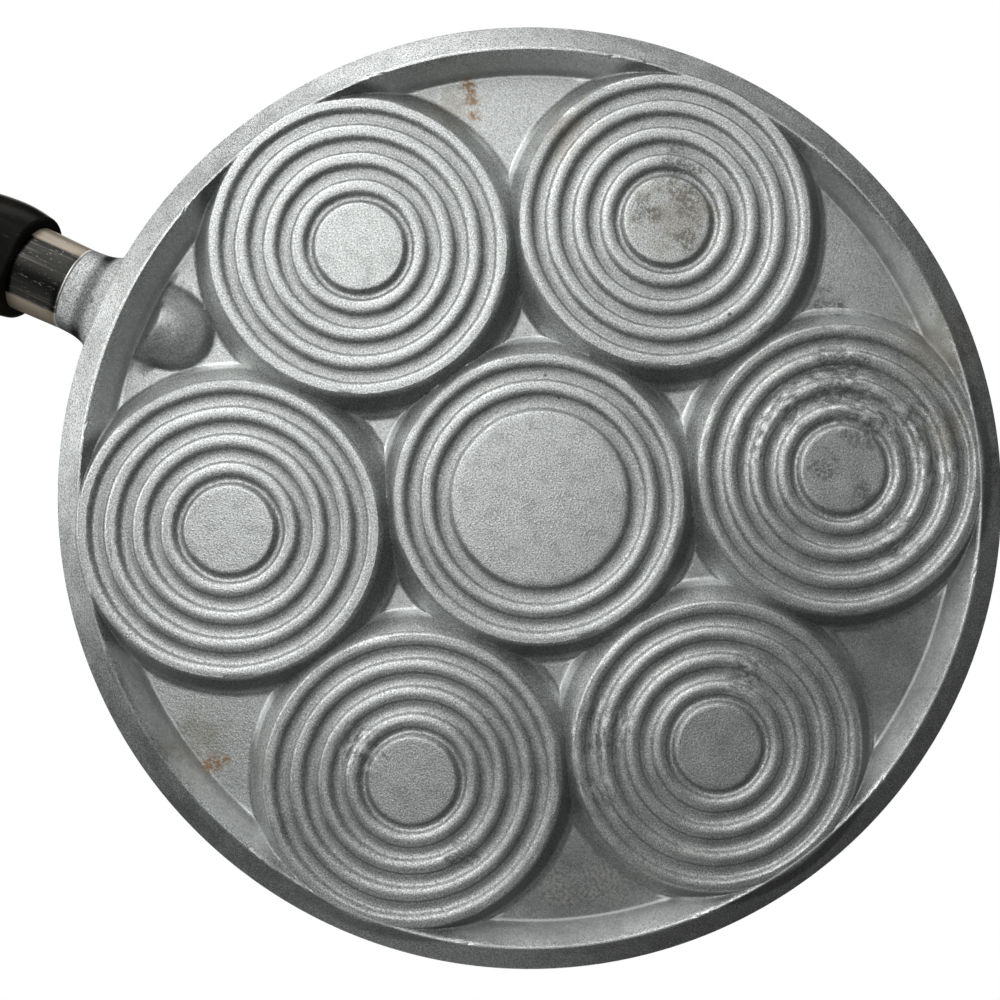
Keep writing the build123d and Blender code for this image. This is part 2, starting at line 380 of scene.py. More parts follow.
def underside_stops(kind, angle, shares=FOOT_SHARES):
    """Distances of the points along one ray, from the well's middle to its cell's edge."""
    stops = ring_stops(kind) + WALL_STOPS
    start = stops[-1]
    if kind == "middle":
        edge = middle_cell_edge(angle)
    else:
        edge = outer_cell_edge(angle)
        skirt = [min(reach_to_circle(from_outward(angle), radius), edge) for radius in SKIRT_CIRCLES]
        stops += [start + max(skirt[0] - start, 0) * share for share in shares] + skirt
    return sorted(min(stop, edge) for stop in stops) + [edge]


def add_cell(skin, centre, direction, angles, rows_at, upward):
    """One well's cell. rows_at(angle) gives (distance, height) pairs along the ray at that angle."""
    rays = []
    for angle in angles:
        x, y = math.cos(direction + angle), math.sin(direction + angle)
        rays.append([skin.point((centre[0] + reach * x, centre[1] + reach * y, height))
                     for reach, height in rows_at(angle)])
    middle = skin.point((centre[0], centre[1], rows_at(0)[0][1]))
    for first, second in zip(rays, rays[1:] + rays[:1]):
        if not upward:
            first, second = second, first
        skin.face(middle, first[0], second[0])
        for (a, b), (c, d) in zip(zip(first, first[1:]), zip(second, second[1:])):
            skin.face(a, b, d, c)


def well_rows():
    """(distance, height) down the inside of a well, from its middle to the land round its mouth."""
    floor = MOUTH_RADIUS - WELL_DRAFT
    inner = [(share * floor, WELL_FLOOR) for share in (0.2, 0.45, 0.7)]
    path = rounded_path([
        (inner[0], 0), ((floor, WELL_FLOOR), WELL_CORNER),
        ((MOUTH_RADIUS, WEB_TOP), MOUTH_ROUND), ((MOUTH_RADIUS + 1.2 * MOUTH_ROUND, WEB_TOP), 0)])
    return inner + [tuple(p) for p in path[1:-1]]


def circle_azimuths():
    """Azimuths, all round, at which the outer cells' rays end on the cell circle."""
    azimuths = []
    for well in range(WELLS_ROUND):
        for angle in [a for a in even_rays() if a < CORNER - 1e-9]:
            for side in (-1, 1) if angle else (1,):
                reach = reach_to_circle(angle, CELL_CIRCLE)
                azimuths.append(well_direction(well) + side * math.atan2(
                    reach * math.sin(angle), WELL_CIRCLE + reach * math.cos(angle)))
        azimuths.append((well + 1) * SECTOR)
    return sorted(azimuths)


def casting_start():
    """The casting as a closed skin, its underside still flat at z = 0."""
    skin = Skin()
    cells = [("middle", 0.0, 0.0)]
    cells += [("outer", WELL_CIRCLE, well_direction(well)) for well in range(WELLS_ROUND)]
    well = well_rows()
    for number, (kind, distance, direction) in enumerate(cells):
        centre = (distance * math.cos(direction), distance * math.sin(direction))
        edge_at = middle_cell_edge if kind == "middle" else outer_cell_edge
        close_side = {1: -1, WELLS_ROUND: 1}.get(number, 0)     # the two cells that border the pad
        rays = even_rays() if kind == "middle" else outer_rays(close_side)
        shares = PAD_SHARES if close_side else FOOT_SHARES

        def below(angle):
            return [(reach, 0.0) for reach in underside_stops(kind, angle, shares)]

        def inside(angle):
            edge, mouth = edge_at(angle), well[-1][0]
            return well + [(mouth + (edge - mouth) * share, WEB_TOP) for share in (.5, 1)]

        add_cell(skin, centre, direction, rays, below, False)
        add_cell(skin, centre, direction, even_rays(), inside, True)
    profile = [(radius, 0.0) for radius in FLARE_CIRCLES + [FLARE_START]]
    profile += rounded_path([
        ((FLARE_START, (FLARE_START - CREST_OUT) * FLARE_SLOPE), 0), (FLARE, FLARE_ROUND),
        (RIM_OUT, RIM_ROUND), (RIM_IN, RIM_ROUND), (TRAY_CORNER, TRAY_ROUND),
        ((CELL_CIRCLE, WEB_TOP), 0)])[1:]
    azimuths = circle_azimuths()
    rows = [[skin.point((radius * math.cos(a), radius * math.sin(a), height)) for a in azimuths]
            for radius, height in [(CELL_CIRCLE, 0.0)] + profile[:-1] + [(CELL_CIRCLE, WEB_TOP)]]
    for first, second in zip(rows, rows[1:]):
        skin.band(first, second)
    return skin.mesh("pan_casting_start")


# ---- the relief on the underside, as a rule ----

def well_distances(nodes, x, y):
    """Distances from the pan's axis and from the nearest outer well, and the angle round that well."""
    radius = square_root(x * x + y * y)
    azimuth = nodes.maths("ARCTAN2", y, x)
    folded = azimuth - nodes.maths("FLOOR", azimuth / SECTOR) * SECTOR - SECTOR / 2
    along = radius * nodes.maths("COSINE", folded) - WELL_CIRCLE
    across = radius * nodes.maths("SINE", folded)
    return radius, square_root(along * along + across * across), nodes.maths("ARCTAN2", across, along)


def casting_wobble(nodes, x, y):
    """The small unevenness, in metres, with which the rings run round."""
    return (nodes.noise(nodes.vector(x, y, 0.0), 9 * MM, 2, 41) - 0.5) * 0.6 * MM


def web_margin(radius, to_outer):
    """How far a place on the web lies from the nearest foot of a well's wall or of the skirt."""
    climb = (WEB_HEIGHT - WALL_LIFT * GROOVE_DEPTH) / WALL_SLOPE + WALL_START
    skirt_foot = CREST_IN - WEB_HEIGHT / SKIRT_SLOPE
    return (to_outer - BEAD_RADIUS["outer"] - climb).least(
        radius - BEAD_RADIUS["middle"] - climb).least(skirt_foot - radius)


def pad_share(x, y):
    """0 on the pad's ridge, 1 on its outline."""
    before = (PAD_RIDGE - x).most(0) / PAD_REACH
    aside = (y - PAD_OFFSET) / PAD_HALF_WIDTH
    return square_root(before * before + aside * aside)


def relief_tree():
    """Geometry nodes that lift the flat underside to the height of its plates, rings, skirt and web."""
    group = bpy.data.node_groups.new("stove_side_relief", "GeometryNodeTree")
    sizes = {
        "Ring Half Width": RING_HALF_WIDTH, "Groove Depth": GROOVE_DEPTH,
        "Web Height": WEB_HEIGHT, "Crest Inside": CREST_IN, "Crest Outside": CREST_OUT,
        "Pad Rise": PAD_RISE, "Pad Edge": PAD_EDGE, "Pad Valley": PAD_VALLEY,
    }
    for kind in RINGS:
        title = kind.capitalize()
        sizes[title + " Bead Radius"] = BEAD_RADIUS[kind]
        sizes[title + " Ring Pitch"] = RING_PITCH[kind]
        sizes[title + " Plate Edge"], sizes[title + " Groove Edge"] = PLATE_EDGES[kind]
    group.interface.new_socket("Geometry", in_out="INPUT", socket_type="NodeSocketGeometry")
    for name, value in sizes.items():
        socket = group.interface.new_socket(name, in_out="INPUT", socket_type="NodeSocketFloat")
        socket.default_value = value
    group.interface.new_socket("Geometry", in_out="OUTPUT", socket_type="NodeSocketGeometry")
    nodes = Tree(group)
    entry = nodes.add("NodeGroupInput")
    size = {name: Number(nodes, entry.outputs[name]) for name in sizes}

    x, y, z = nodes.parts(nodes.add("GeometryNodeInputPosition").outputs[0])
    radius, to_outer, _ = well_distances(nodes, x, y)
    depth, half = size["Groove Depth"], size["Ring Half Width"]

    def well(distance, kind):
        """Height of a well's underside at a distance from the well's middle."""
        title = kind.capitalize()
        bead, pitch, plate_edge, groove_edge = (
            size[title + name] for name in (" Bead Radius", " Ring Pitch", " Plate Edge", " Groove Edge"))
        number = nodes.maths("ROUND", (bead - distance) / pitch).most(0).least(RINGS[kind] - 1)
        off = abs(bead - number * pitch - distance) / half
        beyond = distance - bead
        outside = nodes.maths("GREATER_THAN", beyond, 0)
        ridge = depth * (off.eased(RING_FLAT, 1.0) * (1 - RING_BOWL) + off * off * RING_BOWL)
        wall = depth * WALL_LIFT + (beyond - WALL_START) * WALL_SLOPE
        ridge = ridge * (1 - outside) + ridge.most(wall, SOFT["wall"]) * outside
        plate = depth * distance.eased(plate_edge, groove_edge) + (distance - groove_edge).most(0)
        return ridge.least(plate, SOFT["plate"])

    wobble = casting_wobble(nodes, x, y)
    outer, middle = well(to_outer + wobble, "outer"), well(radius + wobble, "middle")

    inside = (size["Crest Inside"] - radius) * SKIRT_SLOPE
    outside = (radius - size["Crest Outside"]) * FLARE_SLOPE
    skirt = inside.most(outside, SOFT["crest"]).most(0, SOFT["skirt foot"])

    inward = 1 - pad_share(x, y)
    edge = inward * PAD_HALF_WIDTH * PAD_SLOPE
    flank = size["Pad Edge"] + inward * (size["Pad Rise"] - size["Pad Edge"]) * PAD_SLOPE
    fall = (size["Pad Valley"] - x) * PAD_FALL
    pad = size["Web Height"] - edge.least(flank, SOFT["pad edge"]).least(fall, SOFT["pad valley"])

    foot = web_margin(radius, to_outer)
    web = size["Web Height"] + TRENCH_DEPTH * (1 - foot.eased(0.1 * MM, TRENCH_WIDTH))
    fillet = (outer + skirt).least(FILLET_LIMIT) * FILLET_SHARE + FILLET_LEAST
    height = outer.least(middle, SOFT["wells"]).least(skirt, fillet)
    height = height.least(web, SOFT["web"]).least(pad, SOFT["pad"])
    height = height.most(0, SOFT["rest plane"])

    underside = nodes.add("FunctionNodeCompare", {0: z, 1: 1e-6}, operation="LESS_THAN").outputs[0]
    target = nodes.vector(x, y, height)
    moved = nodes.add("GeometryNodeSetPosition", {
        "Geometry": entry.outputs["Geometry"], "Selection": underside, "Position": target})
    real = nodes.add("GeometryNodeRealizeInstances", {"Geometry": moved.outputs[0]})
    done = nodes.add("GeometryNodeSetMaterial", {
        "Geometry": real.outputs[0], "Material": bpy.data.materials["cast_aluminium"]})
    nodes.add("NodeGroupOutput", {"Geometry": done.outputs[0]})
    return group


# ---- solids in code, cut or joined ----

def cut_or_join(obj, tool_mesh, operation):
    tool = new_object("tool", tool_mesh)
    change = obj.modifiers.new("change", "BOOLEAN")
    change.operation, change.solver, change.object = operation, "MANIFOLD", tool
    plain_mesh(obj)
    bpy.data.objects.remove(tool)


def finish_shading(obj, crease=40):
    for polygon in obj.data.polygons:
        polygon.use_smooth = True
    obj.data.set_sharp_from_angle(angle=math.radians(crease))


# ---- ovals along the handle, in the handle's own frame: x along it, y level ----

def turns(count):
    return [2 * math.pi * n / count for n in range(count)]


def oval(station, half_width, half_height, count=96):
    return [Vector((station, half_width * math.cos(a), half_height * math.sin(a))) for a in turns(count)]


def skin_through(name, rows, ring=False):
    """A closed skin through rows of points: capped at both ends, or joined end to end."""
    skin = Skin()
    numbers = [[skin.point(place) for place in row] for row in rows]
    for first, second in zip(numbers, numbers[1:] + (numbers[:1] if ring else [])):
        skin.band(first, second)
    if not ring:
        for row, places in ((numbers[0][::-1], rows[0]), (numbers[-1], rows[-1])):
            skin.fan(skin.point(sum(places, Vector()) / len(places)), row)
    mesh = skin.mesh(name)
    mesh.transform(handle_frame)
    return mesh


def bend(start, corner, end, steps=4):
    """Points that round a corner from start to end."""
    shares = [step / steps for step in range(steps + 1)]
    return [start * (1 - t) ** 2 + corner * 2 * t * (1 - t) + end * t ** 2 for t in shares]


def ferrule_half(station, shrink=0.0):
    """Half width and half height of the ferrule's outside, or of a skin inside it."""
    share = (station - STUB_LENGTH) / FERRULE_LENGTH
    return [half + FERRULE_WIDENING * share - shrink for half in STUB_HALF]


def leaning_oval(station, lean, half_width, top, bottom):
    """An oval whose upper side leads, with its own half heights above and below the axis."""
    row = []
    for a in turns(96):
        z = (top if math.sin(a) > 0 else bottom) * math.sin(a)
        row.append(Vector((station + lean * z, half_width * math.cos(a), z)))
    return row


def stub_mesh():
    """The cast stub with its tang and its tapped hole; its root ends inside the rim's wall.

    flare holds (station, lean, half width, half height above, half height below), lengths in millimetres.
    """
    flare = [
        (-2.0, .63, 15.2, 4.2, 6.6), (-1.4, .63, 14.3, 4.5, 6.5), (-0.5, .63, 13.6, 4.8, 6.3),
        (0.6, .60, 13.0, 5.1, 6.15), (1.6, .50, 12.6, 5.4, 6.0), (2.8, .40, 12.25, 5.6, 5.9),
        (4.2, .25, 12.0, 5.75, 5.85), (6.0, .10, 11.85, 5.8, 5.8)]
    rows = [leaning_oval(station * MM, lean, *in_metres(*halves)) for station, lean, *halves in flare]
    bevel, tang_bevel = 0.35 * MM, 0.5 * MM
    rows += [oval(STUB_LENGTH - bevel, *STUB_HALF), oval(STUB_LENGTH, *(half - bevel for half in STUB_HALF))]
    play = FERRULE_WALL + FIT
    rows += [oval(station, *ferrule_half(station, play + inset)) for station, inset in (
        (STUB_LENGTH, 0), (TANG_END - tang_bevel, 0), (TANG_END, tang_bevel))]
    rows += [oval(station, THREAD_HOLE, THREAD_HOLE) for station in (TANG_END, 0.0)]
    return skin_through("stub", rows)


def ferrule_piece():
    """The sleeve, with its edges broken on both ends."""
    edge, wall = 0.28 * MM, FERRULE_WALL
    start, end = STUB_LENGTH, FERRULE_END
    rings = 8
    path = [(start + edge + (end - start - 2 * edge) * n / rings, 0) for n in range(rings + 1)]
    path += [(end - edge * .3, edge * .3), (end, edge), (end, wall - edge), (end - edge, wall)]
    path += [(start + edge, wall), (start, wall - edge), (start, edge), (start + edge * .3, edge * .3)]
    rows = [oval(station, *ferrule_half(station, shrink), 144) for station, shrink in path]
    obj = new_object("ferrule_sleeve", skin_through("ferrule_sleeve", rows, ring=True))
    finish_shading(obj, 50)
    return obj


# ---- the grip ----

GRIP_AROUND = 180
BELLY_SOFT = 0.7 * MM                # rounding beside the flat of the grip's belly


def grip_half(offset):
    """Half width and half height of the grip, at a distance behind the front of its axis."""
    lip = FRONT_LIP + FERRULE_WIDENING
    stops = [
        (-FRONT_REACH, (STUB_HALF[0] + lip, STUB_HALF[1] + lip)), (HEAD_OFFSET, HEAD_HALF),
        (WAIST_OFFSET, WAIST_HALF), (GRIP_LENGTH - TAIL_SETBACK, TAIL_HALF)]
    for (start, half), (end, next_half) in zip(stops, stops[1:]):
        if offset <= end:
            share = (1 - math.cos(math.pi * (offset - start) / (end - start))) / 2
            return [a + (b - a) * share for a, b in zip(half, next_half)]
    share = math.cos(math.pi / 2 * (offset - end) / TAIL_SETBACK)
    return [tip + (wide - tip) * share for tip, wide in zip(TIP_HALF, TAIL_HALF)]


def soft_floor(z, floor, soft):
    """z, kept above a floor, with a rounded change between the two."""
    gap = max(soft - abs(z - floor), 0) / soft
    return max(z, floor) + gap * gap * soft / 4


def grip_row(offset, lean):
    """Points round the grip's outside; a leaning row runs further forward the higher it is."""
    row = []
    for a in turns(GRIP_AROUND):
        z = 0.0
        for _ in range(6):
            half_width, half_height = grip_half(offset - lean * z)
            z = soft_floor(half_height * math.sin(a), -BELLY_DROP, BELLY_SOFT)
        row.append(Vector((GRIP_FRONT + offset - lean * z, half_width * math.cos(a), z)))
    return row


def rounded_rows(flat, corner, side):
    """Rows that round the edge between a flat end and the side, from the end to the side."""
    columns = [bend(*places) for places in zip(flat, corner, side)]
    return [list(row) for row in zip(*columns)]


def inset_row(row, distance):
    """The row drawn in towards its own middle."""
    middle = sum(row, Vector()) / len(row)
    return [place + (middle - place).normalized() * distance for place in row]


def grip_body():
    """The grip's outside, from its slanted front over head, waist and tail to the rounded tip."""
    slant_end = 16 * MM
    front_rows, rows_behind = 12, 48

    def leaning_row(offset):
        return grip_row(offset, FRONT_LEAN * (slant_end - offset) / (slant_end - FRONT_BACK))

    front = leaning_row(FRONT_BACK)
    rows = rounded_rows(inset_row(front, FRONT_ROUND), front, leaning_row(FRONT_BACK + FRONT_ROUND))
    rows += [leaning_row(FRONT_BACK + (slant_end - FRONT_BACK) * n / front_rows)
             for n in range(1, front_rows + 1)]
    last = GRIP_LENGTH - TIP_ROUND
    rows += [grip_row(slant_end + (last - slant_end) * n / rows_behind, 0) for n in range(1, rows_behind)]
    tail = grip_row(GRIP_LENGTH, 0)
    rows += rounded_rows(inset_row(tail, TIP_ROUND), tail, grip_row(last, 0))[::-1]
    return skin_through("grip", rows)


def socket_mesh():
    """The space for the ferrule, round the nose that stands in it."""
    nose_front, bevel, play = FERRULE_END - NOSE_LENGTH, 0.4 * MM, FERRULE_WALL + FIT
    rows = [oval(station, *ferrule_half(station, shrink)) for station, shrink in (
        (STUB_LENGTH, -FIT), (FERRULE_END, -FIT), (FERRULE_END, play),
        (nose_front + bevel, play), (nose_front, play + bevel))]
    return skin_through("socket", rows)


def bore_mesh():
    """The screw's way through the grip: a close bore up to its seat, a wide one for the driver."""
    past = 1.0 * MM
    rows = [oval(station, radius, radius) for station, radius in (
        (FERRULE_END - NOSE_LENGTH - past, SHANK_BORE), (SCREW_SEAT, SHANK_BORE),
        (SCREW_SEAT, DRIVER_BORE), (GRIP_END - .5 * MM, DRIVER_BORE),
        (GRIP_END + past, DRIVER_BORE + 1.5 * MM))]
    return skin_through("bore", rows)


def hang_hole_mesh():
    """A cutter for the hang hole, with a rounded mouth that follows the grip's curved skin."""
    mouth, bite, past = 1.2 * MM, 0.06 * MM, 0.8 * MM

    def skin_height(x, y, upper):
        half_width, half_height = grip_half(x - GRIP_FRONT)
        height = half_height * math.sqrt(max(1 - (y / half_width) ** 2, 0))
        return height if upper else soft_floor(-height, -BELLY_DROP, BELLY_SOFT)

    def row(radius, below, upper):
        places = []
        for a in turns(72):
            x, y = HANG_HOLE_AT + radius * math.cos(a), radius * math.sin(a)
            places.append(Vector((x, y, skin_height(x, y, upper) - (below if upper else -below))))
        return places

    arc = [(HANG_HOLE + mouth * (1 - math.cos(t)), mouth * (1 - math.sin(t)) - bite)
           for t in (math.pi / 2 * n / 6 for n in range(7))]
    arc.append((arc[-1][0] + past, -past))
    upper, lower = ([row(radius, below, side) for radius, below in arc] for side in (True, False))
    return skin_through("hang_hole", lower[::-1] + upper)


def grip_piece():
    obj = new_object("grip_moulding", grip_body())
    for tool in (socket_mesh(), bore_mesh(), hang_hole_mesh()):
        cut_or_join(obj, tool, "DIFFERENCE")
    finish_shading(obj, 38)
    return obj


def casting_piece():
    obj = new_object("casting", casting_start())
    relief = obj.modifiers.new("relief", "NODES")
    relief.node_group = relief_tree()
    plain_mesh(obj)
    cut_or_join(obj, stub_mesh(), "UNION")
    finish_shading(obj)
    return obj


# ======== finishes ========

def finish(name, metallic):
    """A new material: its tree, its shader, and places on the piece in metres."""
    material = bpy.data.materials.new(name)
    material.use_nodes = True
    tree = Tree(material.node_tree)
    shader = material.node_tree.nodes["Principled BSDF"]
    shader.inputs["Metallic"].default_value = metallic
    return material, tree, shader, tree.add("ShaderNodeTexCoord").outputs["Object"]


def feed(tree, shader, colour, roughness, height, metallic=None):
    """Link what varies over the surface; height is in metres and goes through a Bump node."""
    bump = tree.add("ShaderNodeBump", {"Height": height * (1 / MM), "Distance": MM, "Strength": 1.0})
    links = {"Base Color": colour, "Roughness": roughness, "Metallic": metallic, "Normal": bump.outputs[0]}
    for name, value in links.items():
        if value is not None:
            socket = value.socket if isinstance(value, Number) else value
            tree.tree.links.new(socket, shader.inputs[name])


# Where the pan has been marked in use, as (x, y, size) in millimetres, on its underside; PAINTED_SHADE holds
# patches of painted shade, not marks.
SOOT = [(113.2, 4.5, 4), (-2, 90, 8), (-7, 80, 6), (3, 96, 8), (6, 82, 5), (-60, 65, 11), (-72, 52, 7),
        (-80, 36, 6), (-66, 40, 6), (-112, 57, 9), (-128, 40, 7), (-50, 80, 7), (-20, -95, 5)]
SMEARED = [(-60, 62, 16), (-72, 58, 12), (-50, 52, 10), (-46, 40, 10), (-92, 30, 10), (-84, 60, 12),
           (16, -80, 10), (-40, -50, 12), (-46, -66, 9), (-70, -20, 9), (-96, 52, 9)]
# Patches of painted shade on two stretches of web between the discs and on the skirt's slope.
PAINTED_SHADE = [(-108, 0, 24), (-54, -93.5, 22), (66, -103, 9)]
CRATERS = [(132, -1, 1.5), (132.8, -.2, .9), (135.4, 2.0, .5), (136.0, 2.7, .5), (136.5, 3.5, .5),
           (23, 118, 1.0), (24.2, 118.6, .6), (12.6, 30.7, .7), (6.7, 26.7, .6), (-25.7, 66.2, .8)]
RUST = [(63.9, 94.2, 3.0), (62, 91, 2.6), (60, 88, 2.4), (51.6, -102, 3.4), (48, -99, 2.2)]
TAN = [(34.6, 92.5, 8), (-2, 84, 12), (-80, 82, 12), (57, -96, 8), (-93, 62, 7), (66, 88, 7)]
BLOOM = [(-58, -89, 9), (-67, -82, 7), (-49, -95, 7), (-75, -70, 5)]

# Zones of the casting: where each fades in and out, in millimetres.
ZONES = {
    "disc wall": ((38.8, 40.2), (42.4, 45.0)),       # from the nearest outer well's middle
    "middle wall": ((38.4, 39.8), (42.0, 44.6)),     # from the pan's axis
    "skirt slope": ((115.4, 116.4), (118.4, 119.6)),
    "trench": ((-1.2, -.2), (0, .9)),                # from the web's nearest edge, inwards
    "foot": ((.1, .5), (.7, 1.3)),
    "lit foot": ((-2.0, -1.2), (.2, .9)),
    "pad": ((80, 85), (114.6, 116.2)),               # along the handle's direction
    "root": ((127.5, 129.5), (134.5, 137.0)),
    "ring feet": ((.46, .70), (.74, .98)),           # in half widths, from a ring's middle
}

# How much each kind of dirt, or of painted shade, takes away from the metal's colour; "trench", "shade" and
# "far flare shade" are painted shade, and "rim edge dark reflection" is a painted dark reflection.
DIRT_AND_SHADE = {
    "ring feet": .48, "groove": .14, "trench": .34, "soot": .62, "pits": .55, "plates": .22, "craters": .75,
    "shade": .36, "smears": .62, "rim edge dark reflection": .5, "far flare shade": .26}

# Looks of the casting: its grey, its tint, and the colours of its stains.
CAST_VALUE = .60
CAST_TINT = (.978, 1.008, .992)
PALE_BLOOM, RUST_BROWN, TAN_BROWN = (.62, .62, .60, 1), (.38, .21, .09, 1), (.30, .26, .19, 1)


def cast_finish():
    """Sand-cast aluminium: grainy, sooty and stained in places, with dark lines at the rings' feet, painted
    shade at walls and along the web's edges, and edges worn smoother with painted highlights.
    """
    material, tree, shader, place = finish("cast_aluminium", 1.0)
    x, y, _ = tree.parts(place)
    facing = tree.parts(tree.add("ShaderNodeTexCoord").outputs["Normal"])
    below = 1 - facing[2].eased(-0.3, 0.1)
    # How much a surface turns away from the lamps, for painted shade on the walls.
    away_from_lamps = (facing[0] * -.93 + facing[1] * -.35).eased(0, .55)
    # How much a surface faces the lamps, for the painted highlight at the walls' feet.
    towards_lamps = (facing[0] * .80 + facing[1] * .60).eased(.06, .22)
    radius, to_outer, around = well_distances(tree, x, y)
    # Positive on the side of the pan away from the lamps, negative on the side towards them; for painted
    # shade and highlights.
    far_side = (x * -.94 - y * .34) / radius
    out, off_well, along = radius / MM, to_outer / MM, x / MM      # in millimetres, for the zones

    grain = tree.noise(place, 0.42 * MM, 2)
    specks = tree.noise(place, 1.0 * MM, 2, 13)
    mottle = tree.noise(place, 7 * MM, 4, 7)
    ragged = tree.noise(place, 4 * MM, 5, 29)
    smears = tree.noise(tree.vector(to_outer, around * 9 * MM, 0.0), 1.5 * MM, 4, 51)
    wobble = casting_wobble(tree, x, y)

    def marked(marks, raggedness=3.0):
        """A mask with a ragged blot at each mark."""
        total = None
        for mark_x, mark_y, reach in marks:
            east, north = x - mark_x * MM, y - mark_y * MM
            off = square_root(east * east + north * north) / (reach * MM)
            blot = 1 - (off + (ragged - 0.5) * raggedness).eased(0.2, 1.1)
            total = blot if total is None else total.most(blot)
        return total * below

    def lines(distance, kind):
        """Along every ring: dark lines at both feet and a dull groove between the rings."""
        bead, pitch = BEAD_RADIUS[kind], RING_PITCH[kind]
        wavy = distance + wobble
        number = tree.maths("ROUND", (bead - wavy) / pitch).most(0).least(RINGS[kind] - 1)
        off = abs(bead - number * pitch - wavy) / RING_HALF_WIDTH
        rings = 1 - (distance / MM).eased(bead / MM + 1.6, bead / MM + 2.4)
        edge = sum(PLATE_EDGES[kind]) / 2 / MM
        plate_line = 1 - abs(wavy / MM - edge).eased(.25, .8)
        in_rings = (wavy / MM).eased(edge, edge + .6) * rings
        ring_lines = off.between(*ZONES["ring feet"])
        return (ring_lines * in_rings).most(plate_line), off.eased(.90, 1.10) * in_rings

    near_outer = 1 - off_well.eased(43, 44)
    ring_lines, groove = (
        (outer * near_outer + middle * (1 - near_outer)) * below
        for outer, middle in zip(lines(to_outer, "outer"), lines(radius, "middle")))

    # The pad, and the web with its edges.
    margin = web_margin(radius, to_outer) / MM
    on_ridge = pad_share(x, y)
    on_pad = (1 - on_ridge.eased(1.0, 1.1)) * along.between(*ZONES["pad"]) * below
    # A lighter ridge and a darker outline on the pad: painted light and painted shade.
    lit_pad_ridge = (1 - on_ridge.eased(.25, .60)) * (1 - along.eased(111.4, 112.6))
    pad_outline_shade = on_ridge.eased(.86, .96) * on_pad
    off_pad = (below - on_pad).most(0)
    web = margin.eased(0, .8) * below
    # Painted shade along the web's edges, where it meets the walls and the skirt.
    trench = margin.between(*ZONES["trench"]) * below
    # The skirt's foot: worn smoother, and lighter all round as a painted highlight.
    foot_wear_and_sheen = margin.between(*ZONES["foot"]) * off_pad * out.eased(113.6, 114.6)
    # Painted highlight: a bright line at the feet of walls that face the lamps.
    lit_foot = margin.between(*ZONES["lit foot"]) * off_pad * towards_lamps * (1 - out.eased(96, 104))

    # The discs' walls, the skirt, the flare and the stub.
    wall_shade = off_well.between(*ZONES["disc wall"]).most(out.between(*ZONES["middle wall"]))
    slope = out.between(*ZONES["skirt slope"]) * off_well.eased(41.5, 43.5) * below
    # The crest: worn smoother all round, with a painted highlight on its far side.
    crest = (1 - abs(radius - .5 * (CREST_IN + CREST_OUT)) / MM).eased(.6, .95) * below
    flare = out.eased(120.5, 121.5)
    stub = along.eased(131, 133.5)
    stub_side_shade = stub * (abs(y) / MM).eased(7.5, 11.5)
    root = along.between(*ZONES["root"]) * (1 - (abs(y) / MM).eased(13, 17))

    # Dirt and painted shade: where several kinds meet, the darkest one counts.
    plates = 1 - off_well.least(out * .46).eased(10.2, 11.0)
    smeared = marked(SMEARED, 1.5)
    kinds = {
        "ring feet": ring_lines,
        "groove": groove,
        "trench": trench * (1 - lit_foot),
        "soot": marked(SOOT) * specks.eased(.36, .56),
        "pits": specks.eased(.64, .70) * mottle.eased(.50, .60),
        "plates": plates * ragged.eased(.50, .62) * specks.eased(.40, .60) * below,
        "craters": marked(CRATERS, .6),
        "shade": marked(PAINTED_SHADE, 1.0),
        "smears": smeared * smears.eased(.50, .60),
        # Painted dark reflection: a dark line round the rim's outer edge.
        "rim edge dark reflection": out.eased(132.7, 133.7) * (1 - stub),
        # Painted shade on the flare, on the side away from the lamps.
        "far flare shade": flare * far_side.eased(.62, .95) * below}
    # Painted shade on the walls round the discs and at their feet, stronger on walls turned away from the
    # lamps.
    dirt_and_shade = wall_shade * (1 - lit_foot) * below * (.22 + away_from_lamps * .46)
    # The stub a darker grey, with painted shade at its sides and over the highlight at its root.
    dirt_and_shade = dirt_and_shade.most(stub * .36 + stub_side_shade * .28 + root * .38)
    # Painted shade over the pad, less on its ridge, with a painted dark line round its outline.
    dirt_and_shade = dirt_and_shade.most(on_pad * (.46 - lit_pad_ridge * .30) + pad_outline_shade * .12)
    for kind, mask in kinds.items():
        dirt_and_shade = dirt_and_shade.most(mask * DIRT_AND_SHADE[kind])

    # Painted highlights: bright lines on the crest and the skirt's foot on the far side, and painted light on
    # the flare's near side.
    painted_flare_light = flare * (-far_side).eased(.1, .6) * below * (1 - stub.most(root))
    painted_highlight = (crest * .9).most(foot_wear_and_sheen * .75) * far_side.eased(.1, .6)
    rough_cast = 2.6 * (1 - slope * .6) * (1 - web * .35) * (1 + flare * .3)
    value = CAST_VALUE * (1 + (grain - .5) * rough_cast)
    value = value * (1 + (mottle - .5) * .45) * (1 + (specks - .5) * .5)
    # Dirt and painted shade darken; the skirt's foot, the painted foot highlight and the painted highlights
    # lighten.
    value = value * (1 - dirt_and_shade) + foot_wear_and_sheen * .20 + lit_foot * .34 + painted_highlight * .45
    # Painted light on the flare, on the side towards the lamps.
    value = (value + smeared * (1 - smears.eased(.38, .46)) * .34) * (1 + painted_flare_light * .30)

